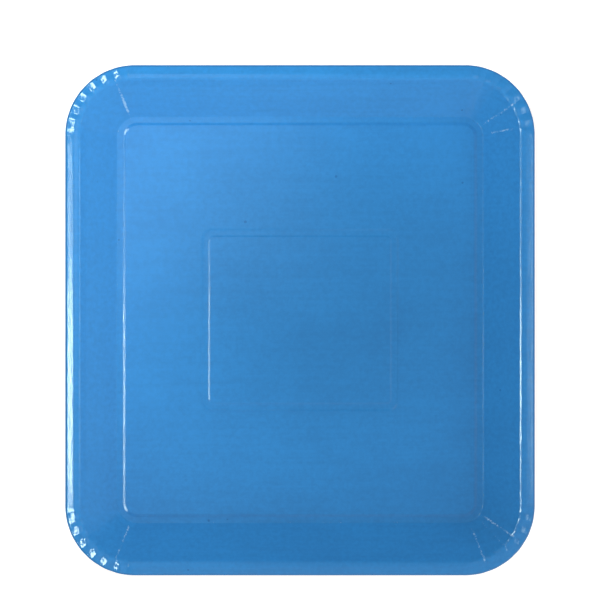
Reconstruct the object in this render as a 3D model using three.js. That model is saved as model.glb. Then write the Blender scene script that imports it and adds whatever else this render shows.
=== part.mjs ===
// A press-formed paperboard plate: one flat blank, pressed hot into a shallow rectangular tray.
// The board is a laminate of three sheets, and each sheet is one closed solid here: the printed
// and varnished face sheet that food lies on, the fibre core that gives stiffness, and the plain
// back liner that meets the table. All three follow the same pressed form, one above the other.
//
// Frame: millimetres, +Z up. The origin is the middle of the plate on the surface that it stands
// on. X runs across the shorter side and Y along the longer side.

import * as THREE from "three";

// Driving dimensions, in millimetres and degrees.
const WIDTH = 230; // over the lip, along X
const LENGTH = 250; // over the lip, along Y
const HEIGHT = 17; // from the table to the top of the rim
const CORNER_RADIUS = 34; // of the outline, and the centre that every pleat points to

const LIP_ANGLE = 62; // how far the outer lip is turned down from level
const LIP_DROP = 2.75; // from the rim down to the cut edge
const LIP_BEND = 3.2; // radius of the turn from rim to lip
const RIM_INSET = 7.25; // from the outline in to the corner between rim and wall
const RIM_BEND = 1.8; // radius of that corner
const WALL_FOOT_INSET = 23.8; // from the outline in to the foot of the wall
const FOOT_BEND = 1.4; // radius where the wall meets the foot

const FOOT_WIDTH = 3; // flat underside of the pressed groove that the plate stands on
const FOOT_DEPTH = 0.5; // how far that groove is pressed below the floor of the well
const FOOT_SLOPE_RUN = 1.4; // how far its inner side runs while it rises to that floor
const PANEL_HALF_WIDTH = 49; // half of the pressed middle panel, over its groove, along X
const PANEL_HALF_LENGTH = 45.4; // the same along Y
const PANEL_RADIUS = 5.2; // corner radius of that groove's outer line
const PANEL_SLOPE_RUN = 0.9; // how far that groove's sides run while they drop
const PANEL_GROOVE_WIDTH = 2.5; // flat bottom of the middle panel's groove
const PANEL_GROOVE_DEPTH = 0.35; // shallower than the foot, so it doesn't touch the table

const PLEATS_PER_CORNER = 7; // folds that take up the spare board where a corner is pressed
const PLEAT_DEPTH = 0.8; // of each fold's valley, at the lip and on the rim
const PLEAT_END_INSET = 23.5; // from the outline in to where the folds run out

const SHEETS = [
  // From the table up. The glue line is the gap left above each sheet.
  { name: "back_liner", thickness: 0.1, glueLine: 0.02, color: 0xe9e4d8, roughness: 0.9 },
  { name: "board_core", thickness: 0.42, glueLine: 0.02, color: 0xb39f83, roughness: 0.95 },
  { name: "printed_face", thickness: 0.1, glueLine: 0, color: 0x3782c3, roughness: 0.32 },
];

const STEPS_PER_CORNER = 2 * PLEATS_PER_CORNER; // one step down into a valley, one back up
const BOARD = SHEETS.reduce((sum, sheet) => sum + sheet.thickness + sheet.glueLine, 0);
const RIM_LEVEL = HEIGHT - BOARD; // of the board's underside

// Points along a bent line, with each inner corner rounded to its radius by an arc of `steps`.
// A corner is { inset, level, bend, steps }; the first and the last are ends and stay sharp.
function bentLine(corners) {
  const at = (corner) => new THREE.Vector2(corner.inset, corner.level);
  const points = [at(corners[0])];
  for (let i = 1; i < corners.length - 1; i += 1) {
    const { bend, steps } = corners[i];
    const corner = at(corners[i]);
    const back = at(corners[i - 1]).sub(corner).normalize();
    const ahead = at(corners[i + 1]).sub(corner).normalize();
    const half = back.angleTo(ahead) / 2;
    const centre = back.clone().add(ahead).normalize().multiplyScalar(bend / Math.sin(half)).add(corner);
    const start = back.clone().multiplyScalar(bend / Math.tan(half)).add(corner).sub(centre);
    const turn = (Math.PI - 2 * half) * Math.sign(start.cross(ahead));
    for (let step = 0; step <= steps; step += 1) {
      const spoke = start.clone().rotateAround(new THREE.Vector2(), (turn * step) / steps);
      points.push(centre.clone().add(spoke));
    }
  }
  points.push(at(corners[corners.length - 1]));
  return points;
}

// The section of the outer form, from the cut edge in to the floor of the well. `inset` is the
// distance in from the outline, and `level` the height of the board's underside.
function outerSection() {
  const lipRun = LIP_DROP / Math.tan(THREE.MathUtils.degToRad(LIP_ANGLE));
  const footInner = WALL_FOOT_INSET + FOOT_WIDTH;
  return bentLine([
    { inset: 0, level: RIM_LEVEL - LIP_DROP },
    { inset: lipRun, level: RIM_LEVEL, bend: LIP_BEND, steps: 4 },
    { inset: RIM_INSET, level: RIM_LEVEL, bend: RIM_BEND, steps: 2 },
    { inset: WALL_FOOT_INSET, level: 0, bend: FOOT_BEND, steps: 2 },
    { inset: footInner, level: 0, bend: 0.6, steps: 1 },
    { inset: footInner + FOOT_SLOPE_RUN, level: FOOT_DEPTH },
  ]);
}

// The section of the middle panel's groove. `inset` is measured in from the groove's outer line.
function panelSection() {
  const bottom = FOOT_DEPTH - PANEL_GROOVE_DEPTH;
  const innerBottom = PANEL_SLOPE_RUN + PANEL_GROOVE_WIDTH;
  return [
    new THREE.Vector2(0, FOOT_DEPTH),
    new THREE.Vector2(PANEL_SLOPE_RUN, bottom),
    new THREE.Vector2(innerBottom, bottom),
    new THREE.Vector2(innerBottom + PANEL_SLOPE_RUN, FOOT_DEPTH),
  ];
}

// How far a pleat's valley lies below the smooth form: full on the lip and rim, then less and
// less down the wall.
function pleatDrop(inset) {
  const down = THREE.MathUtils.smoothstep(inset, RIM_INSET, PLEAT_END_INSET);
  return PLEAT_DEPTH * (1 - down);
}

// One closed loop round the plate at one place in a section, anticlockwise seen from above.
// Every loop has the same number of points, so neighbouring loops join into a band of faces.
function loopAt({ halfWidth, halfLength, radius, level, valley }) {
  const corners = [[1, 1], [-1, 1], [-1, -1], [1, -1]];
  return corners.flatMap(([sideX, sideY], quarter) => {
    const centreX = sideX * (halfWidth - radius);
    const centreY = sideY * (halfLength - radius);
    const spokes = Array.from({ length: STEPS_PER_CORNER + 1 }, (_, step) => step);
    return spokes.map((step) => {
      const angle = ((quarter + step / STEPS_PER_CORNER) * Math.PI) / 2;
      const drop = step % 2 ? valley : 0;
      return new THREE.Vector3(
        centreX + radius * Math.cos(angle),
        centreY + radius * Math.sin(angle),
        level - drop,
      );
    });
  });
}

// All the loops of the pressed form, from the cut edge in to the middle panel.
function pressedForm() {
  const outer = outerSection().map(({ x: inset, y: level }) =>
    loopAt({
      halfWidth: WIDTH / 2 - inset,
      halfLength: LENGTH / 2 - inset,
      radius: CORNER_RADIUS - inset,
      level,
      valley: pleatDrop(inset),
    }),
  );
  const panel = panelSection().map(({ x: inset, y: level }) =>
    loopAt({
      halfWidth: PANEL_HALF_WIDTH - inset,
      halfLength: PANEL_HALF_LENGTH - inset,
      radius: PANEL_RADIUS - inset,
      level,
      valley: 0,
    }),
  );
  return [...outer, ...panel];
}

// One sheet of the laminate as a closed solid: the form lifted to the sheet's underside and to
// its top, joined round the cut edge.
function sheetGeometry(form, underside, thickness) {
  const perLoop = form[0].length;
  const middle = new THREE.Vector3(0, 0, form[form.length - 1][0].z);
  const surface = [...form.flat(), middle];
  const positions = [underside, underside + thickness].flatMap((lift) =>
    surface.flatMap((point) => [point.x, point.y, point.z + lift]),
  );

  const faces = [];
  const top = surface.length; // index of the top's first point
  const last = (form.length - 1) * perLoop;
  for (let i = 0; i < perLoop; i += 1) {
    const next = (i + 1) % perLoop;
    for (let loop = 0; loop < form.length - 1; loop += 1) {
      const a = loop * perLoop + i;
      const b = loop * perLoop + next;
      const c = b + perLoop;
      const d = a + perLoop;
      faces.push(top + a, top + b, top + c, top + a, top + c, top + d);
      faces.push(a, c, b, a, d, c);
    }
    faces.push(top + last + i, top + last + next, top + surface.length - 1);
    faces.push(last + i, surface.length - 1, last + next);
    faces.push(i, next, top + next, i, top + next, top + i);
  }

  const geometry = new THREE.BufferGeometry();
  geometry.setAttribute("position", new THREE.Float32BufferAttribute(positions, 3));
  geometry.setIndex(faces);
  geometry.computeVertexNormals();
  return geometry;
}

const plate = new THREE.Group();
plate.name = "paperboard_plate";
const form = pressedForm();
let underside = 0;
for (const { name, thickness, glueLine, color, roughness } of SHEETS) {
  const material = new THREE.MeshStandardMaterial({ color, roughness, metalness: 0 });
  const sheet = new THREE.Mesh(sheetGeometry(form, underside, thickness), material);
  sheet.name = name;
  plate.add(sheet);
  underside += thickness + glueLine;
}

export default plate;
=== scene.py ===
import math
import bpy
import mathutils
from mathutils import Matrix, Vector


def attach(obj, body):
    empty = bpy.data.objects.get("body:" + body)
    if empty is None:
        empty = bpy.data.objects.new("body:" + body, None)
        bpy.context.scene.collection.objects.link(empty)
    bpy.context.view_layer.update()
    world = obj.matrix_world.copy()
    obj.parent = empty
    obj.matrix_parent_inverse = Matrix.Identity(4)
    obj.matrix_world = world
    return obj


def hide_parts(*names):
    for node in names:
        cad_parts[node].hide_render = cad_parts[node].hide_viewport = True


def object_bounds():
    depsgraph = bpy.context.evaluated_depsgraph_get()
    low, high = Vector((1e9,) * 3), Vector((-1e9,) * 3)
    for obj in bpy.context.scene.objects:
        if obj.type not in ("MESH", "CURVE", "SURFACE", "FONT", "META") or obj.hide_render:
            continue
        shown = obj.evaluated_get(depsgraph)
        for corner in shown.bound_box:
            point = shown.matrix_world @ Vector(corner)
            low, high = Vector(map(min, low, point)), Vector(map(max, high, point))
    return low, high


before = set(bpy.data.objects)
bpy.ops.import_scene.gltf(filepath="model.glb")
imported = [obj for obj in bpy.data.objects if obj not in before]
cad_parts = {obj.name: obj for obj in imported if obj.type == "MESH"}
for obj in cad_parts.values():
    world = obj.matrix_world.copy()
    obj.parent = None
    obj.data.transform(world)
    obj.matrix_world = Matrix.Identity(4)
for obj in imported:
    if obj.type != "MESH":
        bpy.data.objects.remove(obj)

cad_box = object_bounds()

# ---------------------------------------------------------------------------------------------
# Fibre core: the grey-tan recycled board that gives the plate its stiffness. It's cut out flat and
# pressed between two hot dies, which turn the rim down, raise the wall, press the foot groove and
# the middle panel, and fold the spare board at each corner into pleats.
# ---------------------------------------------------------------------------------------------

MM = 0.001
low, high = cad_box
HALF_WIDTH = (high[0] - low[0]) / 2 / MM
HALF_LENGTH = (high[1] - low[1]) / 2 / MM
HEIGHT = (high[2] - low[2]) / MM
CORNER_RADIUS = 34  # of the outline, and the centre that every pleat points to
FACE_SHEET = 0.1  # thickness of each of the three sheets
FIBRE_CORE = 0.42
BACK_LINER = 0.1
GLUE_LINE = 0.02  # between one sheet and the next
BOARD = FACE_SHEET + FIBRE_CORE + BACK_LINER + 2 * GLUE_LINE

EDGE_DROP = 2.75  # from the rim's top down to the cut edge
LIP_INSET = 1.0  # where the steep lip meets the sloping outer half of the rim
LIP_DROP = 1.22  # and how far below the rim's top
CREST_INSET = 4.8  # where that slope reaches the rim's top
RIM_INSET = 6.7  # where the flat of the rim ends, at the narrow bevel above the wall
BEVEL_INSET = 7.6  # where the bevel meets the wall
BEVEL_DROP = 0.55
SHOULDER_INSET = 10.25  # where the wall's curve at the top runs into its straight slope
SHOULDER_DROP = 3.33
WALL_FOOT_INSET = 23.8  # from the outline in to the foot of the wall
FOOT_WIDTH = 3  # flat underside of the groove that the plate stands on
FOOT_DEPTH = 0.5  # how far it is pressed below the floor of the well
FOOT_SLOPE_RUN = 1.4  # how far its inner side runs while it rises to that floor
FOOT_CRACKING = 0.42  # how much of the varnish cracks on the foot's two folds
FLOOR_MARGIN = 1.5  # flat floor inside the foot, before the middle panel's rows begin
PANEL_HALF_WIDTH = 49  # of the pressed middle panel, over its groove
PANEL_HALF_LENGTH = 45.4
PANEL_RADIUS = 5.2
PANEL_SLOPE_RUN = 0.85  # how far each side of that groove runs while it drops
PANEL_GROOVE_WIDTH = 2.5  # flat bottom of the groove
PANEL_GROOVE_DEPTH = 0.35
PANEL_BEND = 0.35  # radius of the groove's four bends
PANEL_BEND_STEPS = 3
PANEL_CRACKING = 0.12  # and how much on the two sides of the groove
PANEL_MARGIN = 1  # flat floor to each side of the groove
FLUTE_AT_EDGE = 0.35  # how deep the pleats are at the cut edge, as a share of their full depth
ROW_SPACING = 1.2  # the farthest apart that two rows of vertices are, outside the flat floor
FOLD_REACH = 1.2  # how far the cracked varnish spreads to each side of a fold


def bent_line(corners):
    """Points (inset, level) along a bent line. Each corner is (inset, level, bend radius, steps of
    its arc), and the straight stretches are divided so that no step is over ROW_SPACING."""
    points = [corners[0][:2]]
    for before, corner, after in zip(corners, corners[1:], corners[2:]):
        inset, level, bend, steps = corner
        back = math.atan2(before[1] - level, before[0] - inset)
        ahead = math.atan2(after[1] - level, after[0] - inset)
        turn = math.remainder(ahead + math.pi - back, math.tau)  # how far the line turns here
        reach = bend * abs(math.tan(turn / 2))
        start = (inset + reach * math.cos(back), level + reach * math.sin(back))
        side = math.copysign(math.pi / 2, turn)
        heading = back + math.pi
        centre = (start[0] + bend * math.cos(heading + side), start[1] + bend * math.sin(heading + side))
        points.append(start)
        for step in range(1, steps + 1):
            spoke = heading - side + turn * step / steps
            points.append((centre[0] + bend * math.cos(spoke), centre[1] + bend * math.sin(spoke)))
    points.append(corners[-1][:2])
    divided = [points[0]]
    for (x0, z0), (x1, z1) in zip(points, points[1:]):
        count = max(1, math.ceil(math.hypot(x1 - x0, z1 - z0) / ROW_SPACING))
        divided += [(x0 + (x1 - x0) * i / count, z0 + (z1 - z0) * i / count) for i in range(1, count + 1)]
    return divided


def ease(value, start, end):
    """0 before start, 1 after end, and a smooth rise between them."""
    share = min(max((value - start) / (end - start), 0), 1)
    return share * share * (3 - 2 * share)


floor_level = BOARD + FOOT_DEPTH
foot_inner = WALL_FOOT_INSET + FOOT_WIDTH
outer_section = bent_line([
    # inset, level, bend radius, steps of its arc
    (0, HEIGHT - EDGE_DROP),
    (LIP_INSET, HEIGHT - LIP_DROP, 0.9, 5),
    (CREST_INSET, HEIGHT, 5, 8),
    (RIM_INSET, HEIGHT, 0.6, 4),
    (BEVEL_INSET, HEIGHT - BEVEL_DROP, 0.7, 4),
    (SHOULDER_INSET, HEIGHT - SHOULDER_DROP, 6, 3),
    (WALL_FOOT_INSET, BOARD, 0.6, 6),
    (foot_inner, BOARD, 0.9, 3),
    (foot_inner + FOOT_SLOPE_RUN, floor_level, 0.9, 3),
    (foot_inner + FOOT_SLOPE_RUN + FLOOR_MARGIN, floor_level),
])
panel_inner = PANEL_SLOPE_RUN + PANEL_GROOVE_WIDTH
groove_level = floor_level - PANEL_GROOVE_DEPTH
panel_section = bent_line([
    (-PANEL_MARGIN, floor_level),
    (0, floor_level, PANEL_BEND, PANEL_BEND_STEPS),
    (PANEL_SLOPE_RUN, groove_level, PANEL_BEND, PANEL_BEND_STEPS),
    (panel_inner, groove_level, PANEL_BEND, PANEL_BEND_STEPS),
    (panel_inner + PANEL_SLOPE_RUN, floor_level, PANEL_BEND, PANEL_BEND_STEPS),
    (panel_inner + PANEL_SLOPE_RUN + PANEL_MARGIN, floor_level),
])


def near_fold(inset, folds):
    """1 on a fold and 0 at FOLD_REACH or more from it."""
    return max(0, 1 - min(abs(inset - fold) for fold in folds) / FOLD_REACH)


# One row of the pressed form for each point of the section, from the cut edge to the middle. The
# row runs round a rectangle with round corners, and its vertex here is that rectangle's corner.
# `flute` is the share of the pleats' full depth there, `crease` the share of the sharp crease at
# the bottom of a pleat, and `fold` how much the varnish has cracked.
rows = []
for inset, level in outer_section:
    turned_down = FLUTE_AT_EDGE + (1 - FLUTE_AT_EDGE) * ease(inset, 0.3, 2.5)  # full on the lip
    run_out = ease(inset, 3.5, 11)  # and gone at the top of the wall
    rows.append({
        "place": (HALF_WIDTH - inset, HALF_LENGTH - inset, level),
        "corner_radius": CORNER_RADIUS - inset,
        "flute": turned_down - run_out,
        "crease": ease(inset, 2, 7) * (1 - ease(inset, 20.5, 24)),
        "fold": FOOT_CRACKING * near_fold(inset, (WALL_FOOT_INSET + 0.4, foot_inner + FOOT_SLOPE_RUN / 2)),
    })
for inset, level in panel_section:
    rows.append({
        "place": (PANEL_HALF_WIDTH - inset, PANEL_HALF_LENGTH - inset, level),
        "corner_radius": PANEL_RADIUS - inset * 0.8,  # so that it stays round right in
        "flute": 0,
        "crease": 0,
        "fold": PANEL_CRACKING * near_fold(inset, (PANEL_SLOPE_RUN / 2, panel_inner + PANEL_SLOPE_RUN / 2)),
    })
# The flat middle: smaller and smaller rows, the last of them a point.
for half_size, radius in ((34, 10), (22, 16), (10, 10), (0, 0)):
    rows.append({
        "place": (half_size, half_size, floor_level),
        "corner_radius": radius,
        "flute": 0,
        "crease": 0,
        "fold": 0,
    })

section = bpy.data.meshes.new("section_line")
section.from_pydata([[size * MM for size in row["place"]] for row in rows], [], [])
for name in ("corner_radius", "flute", "crease", "fold"):
    scale = MM if name == "corner_radius" else 1
    values = [row[name] * scale for row in rows]
    section.attributes.new(name, "FLOAT", "POINT").data.foreach_set("value", values)


def add(tree, kind, inputs=(), **settings):
    """Adds a node to a tree, with its settings. Its inputs come in order as a list, or by name as
    a dict: a node or a socket is linked, None is left alone, and any other value is set."""
    node = tree.nodes.new(kind)
    for name, value in settings.items():
        setattr(node, name, value)
    in_order = [socket for socket in node.inputs if socket.enabled]
    for key, value in inputs.items() if isinstance(inputs, dict) else enumerate(inputs):
        socket = node.inputs[key] if isinstance(key, str) else in_order[key]
        if isinstance(value, bpy.types.Node):
            value = next(output for output in value.outputs if output.enabled)
        if isinstance(value, bpy.types.NodeSocket):
            tree.links.new(value, socket)
        elif value is not None:
            socket.default_value = value
    return node


press = bpy.data.node_groups.new("pressed_sheet", "GeometryNodeTree")
press.is_modifier = True
press.interface.new_socket("Geometry", in_out="OUTPUT", socket_type="NodeSocketGeometry")
for name, kind in {
    "Section Line": "NodeSocketGeometry",
    "Pleats per Corner": "NodeSocketInt",
    "Steps per Pleat": "NodeSocketInt",
    "Steps per Side": "NodeSocketInt",
    "Flute Depth": "NodeSocketFloat",
    "Crease Depth": "NodeSocketFloat",
    "Crease Width": "NodeSocketFloat",
    "Crack From": "NodeSocketFloat",
    "Crack To": "NodeSocketFloat",
    "Scallop": "NodeSocketFloat",
    "Waviness": "NodeSocketFloat",
    "Depth Below Face": "NodeSocketFloat",
    "Thickness": "NodeSocketFloat",
    "Seed": "NodeSocketInt",
    "Sheet Material": "NodeSocketMaterial",
    "Cut Edge Material": "NodeSocketMaterial",
}.items():
    press.interface.new_socket(name, in_out="INPUT", socket_type=kind)
asked = add(press, "NodeGroupInput").outputs

# Which row of the section, and which step round the plate, each vertex of a plain grid stands for.
arc_steps = add(press, "ShaderNodeMath", [asked["Pleats per Corner"], asked["Steps per Pleat"]],
                operation="MULTIPLY")
quarter_steps = add(press, "ShaderNodeMath", [arc_steps, asked["Steps per Side"]], operation="ADD")
columns = add(press, "ShaderNodeMath", [quarter_steps, 4, 1], operation="MULTIPLY_ADD")
row_count = add(press, "GeometryNodeAttributeDomainSize", [asked["Section Line"]], component="MESH")
grid = add(press, "GeometryNodeMeshGrid", [1, 1, row_count, columns])
index = add(press, "GeometryNodeInputIndex")
row = add(press, "ShaderNodeMath", [index, 0.5], operation="ADD")
row = add(press, "ShaderNodeMath", [row, columns], operation="DIVIDE")
row = add(press, "ShaderNodeMath", [row], operation="FLOOR")
row_start = add(press, "ShaderNodeMath", [row, columns], operation="MULTIPLY")
step = add(press, "ShaderNodeMath", [index, row_start], operation="SUBTRACT")

# What the section says about that row.
line = asked["Section Line"]
place = add(press, "GeometryNodeSampleIndex", [line, add(press, "GeometryNodeInputPosition"), row],
            data_type="FLOAT_VECTOR")
place = add(press, "ShaderNodeSeparateXYZ", [place]).outputs
said = {}
for name in ("corner_radius", "flute", "crease", "fold"):
    value = add(press, "GeometryNodeInputNamedAttribute", [name], data_type="FLOAT")
    said[name] = add(press, "GeometryNodeSampleIndex", [line, value, row], data_type="FLOAT")

# How far round a corner the step is, from 0 to 1, and then how far along the straight side.
quarter = add(press, "ShaderNodeMath", [step, quarter_steps], operation="DIVIDE")
quarter = add(press, "ShaderNodeMath", [quarter], operation="FLOOR")
done = add(press, "ShaderNodeMath", [quarter, quarter_steps], operation="MULTIPLY")
local = add(press, "ShaderNodeMath", [step, done], operation="SUBTRACT")
turn = add(press, "ShaderNodeMath", [local, arc_steps], operation="DIVIDE")
turn = add(press, "ShaderNodeMath", [turn, 1], operation="MINIMUM")
along = add(press, "ShaderNodeMath", [local, arc_steps], operation="SUBTRACT")
along = add(press, "ShaderNodeMath", [along, asked["Steps per Side"]], operation="DIVIDE")
along = add(press, "ShaderNodeMath", [along, 0], operation="MAXIMUM")

# The pleats: 1 in a fold's valley and 0 on the crest between two folds. A valley is sharp, its
# two sides are nearly flat and a crest is round. Each fold's depth is its own, and the folds next
# to the straight sides are shallow.
VALLEY_SHARPNESS = 1.3
SHALLOWEST, DEEPEST = 0.75, 1.15  # share of the full depth
END_FOLDS = 0.36  # how far from a corner's middle they get shallow, as a share of its turn
END_SHARE = 0.2  # how deep they still are at its two ends
phase = add(press, "ShaderNodeMath", [turn, asked["Pleats per Corner"]], operation="MULTIPLY")
across = add(press, "ShaderNodeMath", [phase], operation="FRACT")
across = add(press, "ShaderNodeMath", [across, 0.5], operation="SUBTRACT")
across = add(press, "ShaderNodeMath", [across], operation="ABSOLUTE")
across = add(press, "ShaderNodeMath", [across, 2], operation="MULTIPLY")
valley = add(press, "ShaderNodeMath", [1, across], operation="SUBTRACT")
valley = add(press, "ShaderNodeMath", [valley, VALLEY_SHARPNESS], operation="POWER")
pleat = add(press, "ShaderNodeMath", [phase], operation="FLOOR")
pleat = add(press, "ShaderNodeMath", [quarter, asked["Pleats per Corner"], pleat], operation="MULTIPLY_ADD")
own = add(press, "FunctionNodeRandomValue", [SHALLOWEST, DEEPEST, pleat, asked["Seed"]], data_type="FLOAT")
off_middle = add(press, "ShaderNodeMath", [turn, 0.5], operation="SUBTRACT")
off_middle = add(press, "ShaderNodeMath", [off_middle], operation="ABSOLUTE")
run_in = add(press, "ShaderNodeMapRange", [off_middle, END_FOLDS, 0.5, 1, END_SHARE],
             interpolation_type="SMOOTHSTEP")
flute = add(press, "ShaderNodeMath", [valley, said["flute"]], operation="MULTIPLY")
flute = add(press, "ShaderNodeMath", [flute, own], operation="MULTIPLY")
flute = add(press, "ShaderNodeMath", [flute, run_in], operation="MULTIPLY")
drop = add(press, "ShaderNodeMath", [flute, asked["Flute Depth"]], operation="MULTIPLY")
radius = add(press, "ShaderNodeMath", [flute, asked["Scallop"]], operation="MULTIPLY")
radius = add(press, "ShaderNodeMath", [said["corner_radius"], radius], operation="SUBTRACT")

# A narrow crease follows each valley down the wall. In the deepest pleats it is a crack, less so
# next to the straight sides. A crease that hasn't cracked is a quarter as deep.
UNCRACKED = 0.25
half_pleat = add(press, "ShaderNodeMath", [math.pi / 4, asked["Pleats per Corner"]], operation="DIVIDE")
off_valley = add(press, "ShaderNodeMath", [across, said["corner_radius"]], operation="MULTIPLY")
off_valley = add(press, "ShaderNodeMath", [off_valley, half_pleat], operation="MULTIPLY")
crease = add(press, "ShaderNodeMapRange", [off_valley, 0, asked["Crease Width"], 1, 0],
             interpolation_type="SMOOTHSTEP")
crease = add(press, "ShaderNodeMath", [crease, said["crease"]], operation="MULTIPLY")
cracks = add(press, "ShaderNodeMapRange", [own, asked["Crack From"], asked["Crack To"], 0, 1],
             interpolation_type="SMOOTHSTEP")
crack = add(press, "ShaderNodeMath", [crease, cracks], operation="MULTIPLY")
crack = add(press, "ShaderNodeMath", [crack, run_in], operation="MULTIPLY")
hard_crease = add(press, "ShaderNodeMath", [crease, UNCRACKED], operation="MULTIPLY")
hard_crease = add(press, "ShaderNodeMath", [crack, 1 - UNCRACKED, hard_crease], operation="MULTIPLY_ADD")
drop = add(press, "ShaderNodeMath", [hard_crease, asked["Crease Depth"], drop], operation="MULTIPLY_ADD")

# The vertex's place: round the corner's centre, or on the side, in the first quarter, turned into
# its own quarter. Width and length change places from one quarter to the next.
odd = add(press, "ShaderNodeMath", [quarter, 2], operation="MODULO")
centre_x = add(press, "ShaderNodeMath", [place[0], said["corner_radius"]], operation="SUBTRACT")
centre_y = add(press, "ShaderNodeMath", [place[1], said["corner_radius"]], operation="SUBTRACT")
near = add(press, "ShaderNodeMix", [odd, centre_x, centre_y], data_type="FLOAT")
far = add(press, "ShaderNodeMix", [odd, centre_y, centre_x], data_type="FLOAT")
angle = add(press, "ShaderNodeMath", [turn, math.pi / 2], operation="MULTIPLY")
cosine = add(press, "ShaderNodeMath", [angle], operation="COSINE")
sine = add(press, "ShaderNodeMath", [angle], operation="SINE")
x = add(press, "ShaderNodeMath", [cosine, radius, near], operation="MULTIPLY_ADD")
back_along = add(press, "ShaderNodeMath", [along, -2], operation="MULTIPLY")
x = add(press, "ShaderNodeMath", [back_along, near, x], operation="MULTIPLY_ADD")
y = add(press, "ShaderNodeMath", [sine, radius, far], operation="MULTIPLY_ADD")
z = add(press, "ShaderNodeMath", [place[2], drop], operation="SUBTRACT")
spot = add(press, "ShaderNodeCombineXYZ", [x, y, z])
quarter_turn = add(press, "ShaderNodeMath", [quarter, math.pi / 2], operation="MULTIPLY")
spot = add(press, "ShaderNodeVectorRotate", {"Vector": spot, "Angle": quarter_turn}, rotation_type="Z_AXIS")

# Board is never quite flat: the higher a place is above the table, the more it may wave.
WAVES_PER_METRE = 14
wave = add(press, "ShaderNodeTexNoise", {"Vector": spot, "Scale": WAVES_PER_METRE, "Detail": 1.5})
wave = add(press, "ShaderNodeMath", [wave, 0.5], operation="SUBTRACT")
wave = add(press, "ShaderNodeMath", [wave, asked["Waviness"]], operation="MULTIPLY")
rise = add(press, "ShaderNodeMath", [place[2], HEIGHT * MM], operation="DIVIDE")
wave = add(press, "ShaderNodeMath", [wave, rise], operation="MULTIPLY")
wave = add(press, "ShaderNodeCombineXYZ", [0, 0, wave])
spot = add(press, "ShaderNodeVectorMath", [spot, wave], operation="ADD")

# The form as one surface, joined where the last step meets the first and at the middle. Then the
# sheet: its underside, sunk below the form along the form's own normals, its top, a thickness above
# that, and the cut edge between them. An edge bent by more than SHARP_BEND degrees looks sharp.
TOUCHING = 0.001 * MM
SHARP_BEND = 50
form = add(press, "GeometryNodeSetPosition", {"Geometry": grid, "Position": spot})
fold = add(press, "ShaderNodeMath", [said["fold"], crack], operation="MAXIMUM")
form = add(press, "GeometryNodeStoreNamedAttribute", [form, None, "fold", fold], data_type="FLOAT")
form = add(press, "GeometryNodeMergeByDistance", {"Geometry": form, "Distance": TOUCHING})
form = add(press, "GeometryNodeFlipFaces", [form])
normal = add(press, "GeometryNodeInputNormal")
form = add(press, "GeometryNodeStoreNamedAttribute", [form, None, "out", normal], data_type="FLOAT_VECTOR")
out = add(press, "GeometryNodeInputNamedAttribute", ["out"], data_type="FLOAT_VECTOR")
sunk = add(press, "ShaderNodeMath", [asked["Depth Below Face"], asked["Thickness"]], operation="ADD")
sunk = add(press, "ShaderNodeMath", [sunk, -1], operation="MULTIPLY")
sink = add(press, "ShaderNodeVectorMath", {"Vector": out, "Scale": sunk}, operation="SCALE")
under = add(press, "GeometryNodeSetPosition", {"Geometry": form, "Offset": sink})
raised = add(press, "GeometryNodeExtrudeMesh", {"Mesh": under, "Offset Scale": 0, "Individual": False},
             mode="FACES")
lift = add(press, "ShaderNodeVectorMath", {"Vector": out, "Scale": asked["Thickness"]}, operation="SCALE")
over = add(press, "GeometryNodeSetPosition",
           {"Geometry": raised, "Selection": raised.outputs["Top"], "Offset": lift})
over = add(press, "GeometryNodeStoreNamedAttribute", [over, None, "cut_edge", raised.outputs["Side"]],
           data_type="BOOLEAN", domain="FACE")
sheet = add(press, "GeometryNodeJoinGeometry", [add(press, "GeometryNodeFlipFaces", [under])])
press.links.new(over.outputs[0], sheet.inputs[0])
sheet = add(press, "GeometryNodeMergeByDistance", {"Geometry": sheet, "Distance": TOUCHING})
sheet = add(press, "GeometryNodeSetShadeSmooth", {"Geometry": sheet, "Shade Smooth": True}, domain="FACE")
bend = add(press, "GeometryNodeInputMeshEdgeAngle")
sharp = add(press, "FunctionNodeCompare", [bend, math.radians(SHARP_BEND)], operation="GREATER_THAN")
sheet = add(press, "GeometryNodeSetShadeSmooth",
            {"Geometry": sheet, "Selection": sharp, "Shade Smooth": False}, domain="EDGE")
sheet = add(press, "GeometryNodeRealizeInstances", [sheet])
sheet = add(press, "GeometryNodeSetMaterial", {"Geometry": sheet, "Material": asked["Sheet Material"]})
cut = add(press, "GeometryNodeInputNamedAttribute", ["cut_edge"], data_type="BOOLEAN")
sheet = add(press, "GeometryNodeSetMaterial",
            {"Geometry": sheet, "Selection": cut, "Material": asked["Cut Edge Material"]})
add(press, "NodeGroupOutput", [sheet])


def pressed_sheet(name, depth_below_face, thickness, sheet_material, cut_edge_material):
    """One sheet of the laminate as a closed mesh. The depth is from the plate's top surface."""
    sheet = bpy.data.objects.new(name, section.copy())
    bpy.context.scene.collection.objects.link(sheet)
    modifier = sheet.modifiers.new("press", "NODES")
    modifier.node_group = press
    chosen = {
        "Pleats per Corner": 7,
        "Steps per Pleat": 16,
        "Steps per Side": 18,
        "Flute Depth": 0.82 * MM,
        "Scallop": 0.08 * MM,
        "Crease Depth": 0.1 * MM,
        "Crease Width": 1.5 * MM,
        "Crack From": 1.0,
        "Crack To": 1.07,
        "Waviness": 0.5 * MM,
        "Depth Below Face": depth_below_face * MM,
        "Thickness": thickness * MM,
        "Seed": 96,
        "Sheet Material": sheet_material,
        "Cut Edge Material": cut_edge_material,
    }
    for socket in press.interface.items_tree:
        if socket.name in chosen:
            modifier[socket.identifier] = chosen[socket.name]
    made = sheet.evaluated_get(bpy.context.evaluated_depsgraph_get())
    sheet.data = bpy.data.meshes.new_from_object(made)
    sheet.modifiers.remove(modifier)
    return sheet


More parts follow.
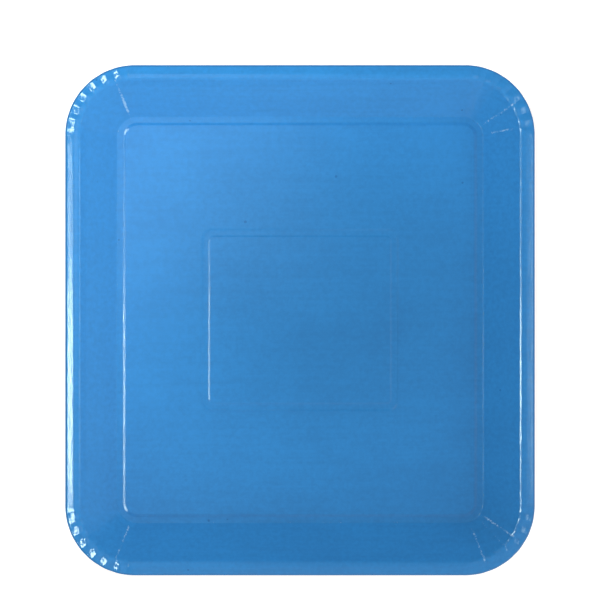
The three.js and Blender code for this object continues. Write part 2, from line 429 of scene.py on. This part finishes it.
def paint(hex_colour):
    """An sRGB hex colour as Blender's linear colour."""
    levels = [int(hex_colour[i:i + 2], 16) / 255 for i in (1, 3, 5)]
    return (*[v / 12.92 if v <= 0.04045 else ((v + 0.055) / 1.055) ** 2.4 for v in levels], 1)


# Recycled grey-tan board, seen only at the cut edge: short dull fibres lying flat, a few dark
# specks of old print, and no gloss at all.
recycled_board = bpy.data.materials.new("recycled_fibre_board")
recycled_board.use_nodes = True
look = recycled_board.node_tree
look.nodes.clear()
spot = add(look, "ShaderNodeTexCoord").outputs["Object"]
lying_flat = add(look, "ShaderNodeMapping", {"Vector": spot, "Scale": (1, 1, 6)})
fibres = add(look, "ShaderNodeTexNoise", {"Vector": lying_flat, "Scale": 1 / (0.5 * MM), "Detail": 4})
pulp = add(look, "ShaderNodeTexNoise", {"Vector": spot, "Scale": 1 / (4 * MM), "Detail": 2})
pulp = add(look, "ShaderNodeMath", [pulp, 0.6, fibres], operation="MULTIPLY_ADD")
pulp = add(look, "ShaderNodeMapRange", [pulp, 0.6, 1, 0, 1], interpolation_type="SMOOTHSTEP")
colour = add(look, "ShaderNodeMix", [pulp, paint("#a38e72"), paint("#c0ad92")], data_type="RGBA")
flecks = add(look, "ShaderNodeTexNoise", {"Vector": spot, "Scale": 1 / (0.35 * MM), "Detail": 1})
flecks = add(look, "ShaderNodeMapRange", [flecks, 0.68, 0.74, 0, 0.7], interpolation_type="SMOOTHSTEP")
colour = add(look, "ShaderNodeMix", [flecks, colour, paint("#6b6258")], data_type="RGBA")
tooth = add(look, "ShaderNodeBump", {"Height": fibres, "Distance": 0.05 * MM, "Strength": 0.6})
surface = add(look, "ShaderNodeBsdfPrincipled", {"Base Color": colour, "Roughness": 0.95, "Normal": tooth})
add(look, "ShaderNodeOutputMaterial", [surface])

core_depth = FACE_SHEET + GLUE_LINE
core = pressed_sheet("fibre_core_sheet", core_depth, FIBRE_CORE, recycled_board, recycled_board)
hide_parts("board_core")
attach(core, "root")

# ---------------------------------------------------------------------------------------------
# Back liner: plain white paper glued under the core and pressed with it. Its foot, the underside
# of the groove round the floor, is what meets the table.
# ---------------------------------------------------------------------------------------------

# Uncoated bleached kraft paper: warm white and matt, cloudy where the pulp settled unevenly, with
# fine fibres and a few tan shives along the paper machine's run, and rubbed smoother and greyer on
# the foot.
kraft_paper = bpy.data.materials.new("uncoated_bleached_kraft_paper")
kraft_paper.use_nodes = True
look = kraft_paper.node_tree
look.nodes.clear()
spot = add(look, "ShaderNodeTexCoord").outputs["Object"]
clouds = add(look, "ShaderNodeTexNoise", {"Vector": spot, "Scale": 1 / (4 * MM), "Detail": 3})
along_run = add(look, "ShaderNodeMapping", {"Vector": spot, "Scale": (1, 1 / 5, 1)})
fibres = add(look, "ShaderNodeTexNoise", {"Vector": along_run, "Scale": 1 / (0.7 * MM), "Detail": 3})
pulp = add(look, "ShaderNodeMath", [fibres, 0.7, clouds], operation="MULTIPLY_ADD")
pulp = add(look, "ShaderNodeMapRange", [pulp, 0.65, 1.05, 0, 1], interpolation_type="SMOOTHSTEP")
colour = add(look, "ShaderNodeMix", [pulp, paint("#e5dfd2"), paint("#ece8dd")], data_type="RGBA")
shives = add(look, "ShaderNodeTexVoronoi", {"Vector": along_run, "Scale": 1 / (5 * MM)}, feature="F1")
shives = add(look, "ShaderNodeMath", [shives.outputs["Distance"], 0.05], operation="LESS_THAN")
shives = add(look, "ShaderNodeMath", [shives, 0.5], operation="MULTIPLY")
colour = add(look, "ShaderNodeMix", [shives, colour, paint("#b9a98a")], data_type="RGBA")
level = add(look, "ShaderNodeSeparateXYZ", [spot]).outputs["Z"]
rubbed = add(look, "ShaderNodeMapRange", [level, 0.06 * MM, 0.2 * MM, 1, 0], interpolation_type="SMOOTHSTEP")
rubbed = add(look, "ShaderNodeMath", [rubbed, clouds], operation="MULTIPLY")
colour = add(look, "ShaderNodeMix", [rubbed, colour, paint("#d3cdc0")], data_type="RGBA")
matt = add(look, "ShaderNodeMapRange", [rubbed, 0, 0.6, 0.9, 0.65], interpolation_type="SMOOTHSTEP")
tooth = add(look, "ShaderNodeMath", [clouds, 2, fibres], operation="MULTIPLY_ADD")
tooth = add(look, "ShaderNodeBump", {"Height": tooth, "Distance": 0.04 * MM, "Strength": 0.5})
surface = add(look, "ShaderNodeBsdfPrincipled", {"Base Color": colour, "Roughness": matt, "Normal": tooth})
add(look, "ShaderNodeOutputMaterial", [surface])

liner_depth = core_depth + FIBRE_CORE + GLUE_LINE
liner = pressed_sheet("plain_back_sheet", liner_depth, BACK_LINER, kraft_paper, kraft_paper)
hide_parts("back_liner")
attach(liner, "root")

# ---------------------------------------------------------------------------------------------
# Face sheet: thin white paper, printed blue all over and varnished, glued on the core and pressed
# with it. Food lies on it. Its cut edge shows the white paper, with no ink.
# ---------------------------------------------------------------------------------------------

# Offset-printed varnished paper: flat blue ink with soft mottle and roller streaks, under a glossy
# varnish whose orange peel breaks every highlight into grain, and which cracks white on the folds.
varnished_print = bpy.data.materials.new("offset_printed_varnished_paper")
varnished_print.use_nodes = True
look = varnished_print.node_tree
look.nodes.clear()
spot = add(look, "ShaderNodeTexCoord").outputs["Object"]
fold = add(look, "ShaderNodeAttribute", attribute_name="fold").outputs["Fac"]

# Ink density: broad soft clouds, streaks across the plate from the press rollers, and the mottle
# where the paper took up more or less ink.
clouds = add(look, "ShaderNodeTexNoise", {"Vector": spot, "Scale": 1 / (30 * MM), "Detail": 3})
rolled = add(look, "ShaderNodeMapping", {"Vector": spot, "Scale": (1 / 22, 1, 1)})
streaks = add(look, "ShaderNodeTexNoise", {"Vector": rolled, "Scale": 1 / (2.2 * MM), "Detail": 2})
mottle = add(look, "ShaderNodeTexNoise",
             {"Vector": spot, "Scale": 1 / (2.2 * MM), "Detail": 4, "Roughness": 0.6})
density = add(look, "ShaderNodeMath", [clouds, 0.5, mottle], operation="MULTIPLY_ADD")
density = add(look, "ShaderNodeMath", [streaks, 0.45, density], operation="MULTIPLY_ADD")
density = add(look, "ShaderNodeMapRange", [density, 0.6, 1.35, 0, 1], interpolation_type="SMOOTHSTEP")
# The lighter copy of the ink is for the painted light at the top left, the darker copy for the painted shade
# at the bottom right.
lit_corner_ink = add(look, "ShaderNodeMix", [density, paint("#3590d6"), paint("#3285c7")], data_type="RGBA")
shaded_corner_ink = add(look, "ShaderNodeMix", [density, paint("#2c80c0"), paint("#2a76b3")], data_type="RGBA")

# Painted light and shade: the blue is painted lighter towards the top left and darker towards the
# bottom right, and painted darker in the middle.
side = add(look, "ShaderNodeVectorMath", [spot, (1, -1, 0)], operation="DOT_PRODUCT").outputs["Value"]
painted_light_slope = add(look, "ShaderNodeMapRange", [side, -170 * MM, 170 * MM, 0, 1], interpolation_type="SMOOTHSTEP")
ink = add(look, "ShaderNodeMix", [painted_light_slope, lit_corner_ink, shaded_corner_ink], data_type="RGBA")
# Painted shade: the blue is multiplied darker round a point near the plate's middle, fading out by 105 mm
# from it.
from_middle = add(look, "ShaderNodeVectorMath", [spot, (12 * MM, 22 * MM, 0)], operation="DISTANCE")
from_middle = from_middle.outputs["Value"]
middle = add(look, "ShaderNodeMapRange", [from_middle, 30 * MM, 105 * MM, 1, 0],
             interpolation_type="SMOOTHSTEP")
ink = add(look, "ShaderNodeMix", [middle, ink, paint("#eaeaea")], data_type="RGBA", blend_type="MULTIPLY")

# Specks of bark and darker fibre that the ink doesn't hide, in one place out of five.
speck = add(look, "ShaderNodeTexVoronoi", {"Vector": spot, "Scale": 1 / (9 * MM)}, feature="F1")
chance = add(look, "ShaderNodeSeparateColor", [speck.outputs["Color"]])
speck_size = add(look, "ShaderNodeMapRange", [chance, 0.8, 1, 0, 0.08], interpolation_type="SMOOTHSTEP")
speck = add(look, "ShaderNodeMath", [speck.outputs["Distance"], speck_size], operation="LESS_THAN")
speck = add(look, "ShaderNodeMath", [speck, 0.45], operation="MULTIPLY")
ink = add(look, "ShaderNodeMix", [speck, ink, paint("#1d4f86")], data_type="RGBA")

# Cracked varnish along each fold, where white paper fibres show through the ink as small flecks.
flecks = add(look, "ShaderNodeTexNoise",
             {"Vector": spot, "Scale": 1 / (1.1 * MM), "Detail": 4, "Roughness": 0.75})
patches = add(look, "ShaderNodeTexNoise", {"Vector": spot, "Scale": 1 / (14 * MM), "Detail": 2})
patches = add(look, "ShaderNodeMapRange", [patches, 0.4, 0.65, 0.5, 0.9], interpolation_type="SMOOTHSTEP")
cracking = add(look, "ShaderNodeMath", [fold, patches], operation="MULTIPLY")
cracked = add(look, "ShaderNodeMath", [cracking, 0.6, flecks], operation="MULTIPLY_ADD")
cracked = add(look, "ShaderNodeMapRange", [cracked, 0.74, 1, 0, 1], interpolation_type="SMOOTHSTEP")
bare = add(look, "ShaderNodeMath", [cracked, 0.6], operation="MULTIPLY")
ink = add(look, "ShaderNodeMix", [bare, ink, paint("#a3cbe8")], data_type="RGBA")

# The varnish: orange peel 1 to 2 mm across, with the grain of the board showing through as fine
# lengthwise ridges, and broader dents of a few millimetres. It is stronger on the stretched rim.
peel = add(look, "ShaderNodeTexNoise", {"Vector": spot, "Scale": 1 / (1.6 * MM), "Detail": 2})
along_run = add(look, "ShaderNodeMapping", {"Vector": spot, "Scale": (1, 1 / 7, 1)})
ridges = add(look, "ShaderNodeTexNoise", {"Vector": along_run, "Scale": 1 / (0.9 * MM), "Detail": 2})
dents = add(look, "ShaderNodeTexNoise", {"Vector": spot, "Scale": 1 / (6 * MM), "Detail": 2})
relief = add(look, "ShaderNodeMath", [peel, 0.6, ridges], operation="MULTIPLY_ADD")
relief = add(look, "ShaderNodeMath", [dents, 1.5, relief], operation="MULTIPLY_ADD")
relief = add(look, "ShaderNodeMath", [cracked, 0.5, relief], operation="MULTIPLY_ADD")
level = add(look, "ShaderNodeSeparateXYZ", [spot]).outputs["Z"]
stretched = add(look, "ShaderNodeMapRange", [level, (HEIGHT - 4) * MM, (HEIGHT - 1.5) * MM, 0.4, 1],
                interpolation_type="SMOOTHSTEP")
bumped = add(look, "ShaderNodeBump", {"Height": relief, "Distance": 0.04 * MM, "Strength": stretched})
gloss = add(look, "ShaderNodeMapRange", [cracked, 0, 1, 0.14, 0.45], interpolation_type="SMOOTHSTEP")
surface = add(look, "ShaderNodeBsdfPrincipled", {"Base Color": ink, "Roughness": gloss, "Normal": bumped})
add(look, "ShaderNodeOutputMaterial", [surface])

face = pressed_sheet("varnished_face_sheet", 0, FACE_SHEET, varnished_print, kraft_paper)
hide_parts("printed_face")
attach(face, "root")

# ---------------------------------------------------------------------------------------------
# Stage: a pale table, a plain room, soft fills, low strip lamps on the left and the right, and a
# camera straight overhead. Places and sizes are in metres here, and a lamp's power is in watts.
# ---------------------------------------------------------------------------------------------

CAMERA_PLACE = (0, 0.0099, 0.8308)  # overhead, 10 mm past the plate's middle along Y
scene = bpy.context.scene
scene.view_settings.view_transform = "Standard"
camera = bpy.data.objects.new("camera", bpy.data.cameras.new("camera"))
camera.data.lens = 100
camera.data.sensor_width = 36
camera.location = CAMERA_PLACE
scene.collection.objects.link(camera)
scene.camera = camera

FLOOR_HALF = 3
FLOOR_GAP = 0.05 * MM  # between the foot and the table, so that their surfaces stay apart
floor_mesh = bpy.data.meshes.new("floor")
corners = [(FLOOR_HALF * x, FLOOR_HALF * y, 0) for x, y in ((-1, -1), (1, -1), (1, 1), (-1, 1))]
floor_mesh.from_pydata(corners, [], [(0, 1, 2, 3)])
floor = bpy.data.objects.new("floor", floor_mesh)
floor.location.z = -FLOOR_GAP
scene.collection.objects.link(floor)
floor.visible_glossy = False
floor.visible_diffuse = False
white_table = bpy.data.materials.new("white_laminate_table_top")
white_table.use_nodes = True
look = white_table.node_tree
look.nodes.clear()
surface = add(look, "ShaderNodeBsdfPrincipled", {
    "Base Color": paint("#f3f3f3"),
    "Roughness": 0.9,
    "Emission Color": paint("#ffffff"),
    "Emission Strength": 0.4,
})
add(look, "ShaderNodeOutputMaterial", [surface])
floor_mesh.materials.append(white_table)

# The room, evenly bright in diffuse light. The varnish mirrors it as dim, with two soft lamps
# overhead and a wide window low down on the right. Each is full bright up to one angle from its
# middle, in degrees, and fades out at another.
world = bpy.data.worlds.new("studio")
scene.world = world
world.use_nodes = True
sky = world.node_tree
sky.nodes.clear()
toward = add(sky, "ShaderNodeTexCoord").outputs["Generated"]
ROOM = 0.74
MIRRORED_ROOM = 0.08
mirrored = MIRRORED_ROOM
for centre, full_within, gone_beyond, brightness in (
    ((-0.29, 0.22, 1), 5, 20, 1.1),
    ((-0.27, -0.2, 1), 6, 17, 0.45),
    ((0.7, -0.7, 0.3), 20, 90, 0.6),
):
    aim = tuple(mathutils.Vector(centre).normalized())
    nearness = add(sky, "ShaderNodeVectorMath", [toward, aim], operation="DOT_PRODUCT").outputs["Value"]
    edge = math.cos(math.radians(gone_beyond))
    full = math.cos(math.radians(full_within))
    patch = add(sky, "ShaderNodeMapRange", [nearness, edge, full, 0, 1], interpolation_type="SMOOTHSTEP")
    mirrored = add(sky, "ShaderNodeMath", [patch, brightness, mirrored], operation="MULTIPLY_ADD")
in_gloss = add(sky, "ShaderNodeLightPath").outputs["Is Glossy Ray"]
strength = add(sky, "ShaderNodeMix", [in_gloss, ROOM, mirrored], data_type="FLOAT")
add(sky, "ShaderNodeOutputWorld", [add(sky, "ShaderNodeBackground", {"Strength": strength})])


def area_light(name, place, aim, size, power, seen_in, tint):
    """A rectangular lamp. It is seen in diffuse light only or in gloss only."""
    lamp = bpy.data.lights.new(name, "AREA")
    lamp.shape = "RECTANGLE"
    lamp.size, lamp.size_y = size
    lamp.energy = power
    lamp.color = paint(tint)[:3]
    holder = bpy.data.objects.new(name, lamp)
    holder.location = place
    facing = mathutils.Vector(aim) - mathutils.Vector(place)
    holder.rotation_euler = facing.to_track_quat("-Z", "Y").to_euler()
    holder.visible_camera = False
    holder.visible_diffuse = seen_in == "diffuse"
    holder.visible_glossy = seen_in == "gloss"
    scene.collection.objects.link(holder)


# Soft fills.
for name, place, aim, size, power in (
    ("near_fill", (-0.14, 0.17, 0.35), (-0.14, 0.17, 0), (0.3, 0.3), 0.9),
    ("low_fill_right", (0.8, 0.1, 0.36), (0, 0, 0), (0.6, 0.3), 1.9),
    ("low_fill_front", (-0.1, -0.8, 0.36), (0, 0, 0), (0.3, 0.6), 2.1),
):
    area_light(name, place, aim, size, power, seen_in="diffuse", tint="#ffffff")

# Strip lamps down the left, slightly cyan, which the lip, the left-facing sides of the grooves and
# the pleats mirror, and a dimmer one on the right.
for name, place, aim, size, power in (
    ("key_strip", (-0.584, -0.01, 0.493), (-0.1, -0.01, 0), (0.34, 0.02), 0.6),
    ("key_strip_lower_half", (-0.584, -0.08, 0.493), (-0.1, -0.08, 0), (0.2, 0.02), 1.3),
    ("far_corner_strip", (-0.585, 0.36, 0.49), (-0.1, 0.11, 0), (0.26, 0.12), 2.6),
    ("near_corner_strip", (-0.585, -0.36, 0.49), (-0.1, -0.11, 0), (0.26, 0.12), 2.6),
    ("right_strip", (0.6, 0, 0.45), (0.08, 0, 0), (0.34, 0.06), 0.3),
):
    area_light(name, place, aim, size, power, seen_in="gloss", tint="#e8fff8")
